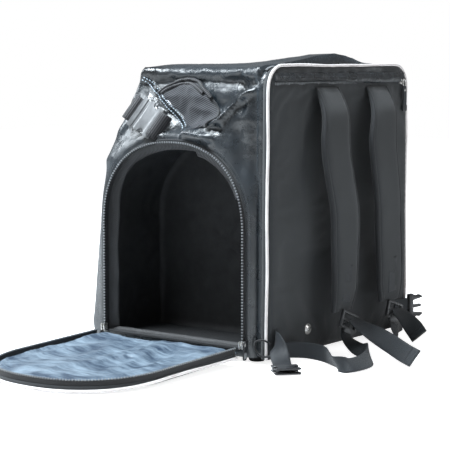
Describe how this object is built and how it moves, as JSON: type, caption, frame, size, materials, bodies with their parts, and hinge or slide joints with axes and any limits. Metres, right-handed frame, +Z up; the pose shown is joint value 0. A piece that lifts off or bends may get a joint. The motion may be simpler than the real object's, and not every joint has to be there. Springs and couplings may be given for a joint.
{
  "type": "skate bag",
  "caption": "Backpack-style skate bag with padded back panel, shoulder straps, piped edges and fold-down zipped side doors onto skate compartments.",
  "frame": {"origin": "on the floor, under the middle of the bag's body, between its four feet", "axes": "+Z up, -Y out of the back panel with the shoulder straps, -X towards the open skate door"},
  "size_m": [0.7789, 0.5417, 0.4708],
  "materials": {
    "shell_fabric": "coated polyester with a bluish sheen",
    "back_fabric": "matt fine weave",
    "lining_satin": "pale satin",
    "piping_white": "satin",
    "zip_black": "woven tape with moulded teeth",
    "silver_metal": "plated",
    "buckle_plastic": "moulded",
    "webbing_black": "ribbed webbing",
    "ribbed_fabric": "ribbed",
    "stiffener_board": "plain",
    "foot_rubber": "matt"
  },
  "bodies": {
    "bag": {"back_panel": "back_fabric", "back_frame_sheet": "stiffener_board", "back_gusset": "shell_fabric", "back_piping": "piping_white", "back_snap": "silver_metal", "base_board": "stiffener_board", "base_panel": "shell_fabric", "foot_1": "foot_rubber", "foot_2": "foot_rubber", "foot_3": "foot_rubber", "foot_4": "foot_rubber", "front_panel": "shell_fabric", "left_side_panel": "shell_fabric", "right_side_panel": "shell_fabric", "left_zip_tape": "zip_black", "right_zip_tape": "zip_black", "top_panel": "shell_fabric", "left_compartment_wall": "shell_fabric", "right_compartment_wall": "shell_fabric", "main_zip": "zip_black", "strap_pocket_zip": "zip_black", "ribbed_shoulder_panel": "ribbed_fabric", "top_buckle_socket": "buckle_plastic", "top_strap_rear": "webbing_black"},
    "main_slider": {"main_zip_slider": "silver_metal"},
    "main_pull": {"main_zip_pull": "buckle_plastic"},
    "pocket_slider": {"strap_pocket_slider": "silver_metal"},
    "pocket_pull": {"strap_pocket_pull": "buckle_plastic"},
    "top_buckle": {"top_buckle_plug": "buckle_plastic", "top_strap_front": "webbing_black"},
    "left_door": {"left_door_panel": "shell_fabric", "left_door_lining": "lining_satin", "left_door_zip_rim": "zip_black", "left_door_piping": "piping_white"},
    "left_slider_near": {"left_slider_near": "silver_metal"},
    "left_pull_near": {"left_pull_near": "buckle_plastic"},
    "left_slider_far": {"left_slider_far": "silver_metal"},
    "left_pull_far": {"left_pull_far": "buckle_plastic"},
    "left_strap": {"left_shoulder_pad": "back_fabric", "left_lower_webbing": "webbing_black"},
    "left_lock": {"left_ladder_lock": "buckle_plastic", "left_strap_tail": "webbing_black"},
    "left_waist": {"left_waist_webbing": "webbing_black", "left_waist_buckle": "buckle_plastic"},
    "right_door": {"right_door_panel": "shell_fabric", "right_door_lining": "lining_satin", "right_door_zip_rim": "zip_black", "right_door_piping": "piping_white"},
    "right_slider_near": {"right_slider_near": "silver_metal"},
    "right_pull_near": {"right_pull_near": "buckle_plastic"},
    "right_slider_far": {"right_slider_far": "silver_metal"},
    "right_pull_far": {"right_pull_far": "buckle_plastic"},
    "right_strap": {"right_shoulder_pad": "back_fabric", "right_lower_webbing": "webbing_black"},
    "right_lock": {"right_ladder_lock": "buckle_plastic", "right_strap_tail": "webbing_black"},
    "right_waist": {"right_waist_webbing": "webbing_black", "right_waist_buckle": "buckle_plastic"}
  },
  "joints": [
    {"name": "left_door_hinge", "type": "hinge", "parent": "bag", "child": "left_door", "pos_m": [-0.2255, 0, 0.022], "axis": [0, 1, 0], "range_deg": [0, 91.75]},
    {"name": "left_slider_near_slide", "type": "slide", "parent": "bag", "child": "left_slider_near", "axis": [0, 0, 1], "range_m": [0, 0.155]},
    {"name": "left_pull_near_hinge", "type": "hinge", "parent": "left_slider_near", "child": "left_pull_near", "pos_m": [-0.2175, -0.1442, 0.0345], "axis": [-1, 0, 0], "range_deg": [0, 150]},
    {"name": "left_slider_far_slide", "type": "slide", "parent": "bag", "child": "left_slider_far", "axis": [0, 0, 1], "range_m": [0, 0.155]},
    {"name": "left_pull_far_hinge", "type": "hinge", "parent": "left_slider_far", "child": "left_pull_far", "pos_m": [-0.2175, 0.1442, 0.0345], "axis": [1, 0, 0], "range_deg": [0, 150]},
    {"name": "left_strap_swing", "type": "hinge", "parent": "bag", "child": "left_strap", "pos_m": [-0.054, -0.1785, 0.4185], "axis": [-1, 0, 0], "range_deg": [0, 20], "deforming": ["left_lower_webbing"]},
    {"name": "left_lock_tilt", "type": "hinge", "parent": "left_strap", "child": "left_lock", "pos_m": [-0.044, -0.2225, 0.066], "axis": [-1, 0, 0], "range_deg": [0, 20]},
    {"name": "left_waist_lift", "type": "hinge", "parent": "bag", "child": "left_waist", "pos_m": [-0.184, -0.1795, 0.04], "axis": [0, 1, 0], "range_deg": [0, 80]},
    {"name": "right_door_hinge", "type": "hinge", "parent": "bag", "child": "right_door", "pos_m": [0.2255, 0, 0.022], "axis": [0, 1, 0], "range_deg": [0, 91.75]},
    {"name": "right_slider_near_slide", "type": "slide", "parent": "bag", "child": "right_slider_near", "axis": [0, 0, 1], "range_m": [0, 0.155]},
    {"name": "right_pull_near_hinge", "type": "hinge", "parent": "right_slider_near", "child": "right_pull_near", "pos_m": [0.2175, -0.1442, 0.0345], "axis": [-1, 0, 0], "range_deg": [0, 150]},
    {"name": "right_slider_far_slide", "type": "slide", "parent": "bag", "child": "right_slider_far", "axis": [0, 0, 1], "range_m": [0, 0.155]},
    {"name": "right_pull_far_hinge", "type": "hinge", "parent": "right_slider_far", "child": "right_pull_far", "pos_m": [0.2175, 0.1442, 0.0345], "axis": [1, 0, 0], "range_deg": [0, 150]},
    {"name": "right_strap_swing", "type": "hinge", "parent": "bag", "child": "right_strap", "pos_m": [0.092, -0.1785, 0.4185], "axis": [-1, 0, 0], "range_deg": [0, 5], "deforming": ["right_lower_webbing"]},
    {"name": "right_lock_tilt", "type": "hinge", "parent": "right_strap", "child": "right_lock", "pos_m": [0.092, -0.2225, 0.066], "axis": [-1, 0, 0], "range_deg": [0, 20]},
    {"name": "right_waist_lift", "type": "hinge", "parent": "bag", "child": "right_waist", "pos_m": [0.16, -0.1795, 0.0435], "axis": [0, -1, 0], "range_deg": [0, 80]},
    {"name": "main_slider_slide", "type": "slide", "parent": "bag", "child": "main_slider", "axis": [0.008, 0, -1], "range_m": [-0.01, 0.115]},
    {"name": "main_pull_hinge", "type": "hinge", "parent": "main_slider", "child": "main_pull", "pos_m": [0.20242, -0.1575, 0.39804], "axis": [0, -1, 0], "range_deg": [0, 150]},
    {"name": "pocket_slider_slide", "type": "slide", "parent": "bag", "child": "pocket_slider", "axis": [1, 0, 0], "range_m": [-0.045, 0]},
    {"name": "pocket_pull_hinge", "type": "hinge", "parent": "pocket_slider", "child": "pocket_pull", "pos_m": [0.178, -0.1815, 0.427], "axis": [-1, 0, 0], "range_deg": [0, 150]},
    {"name": "top_buckle_slide", "type": "slide", "parent": "bag", "child": "top_buckle", "axis": [0.1853, 0.9063, 0.3798], "range_m": [0, 0.028]}
  ]
}
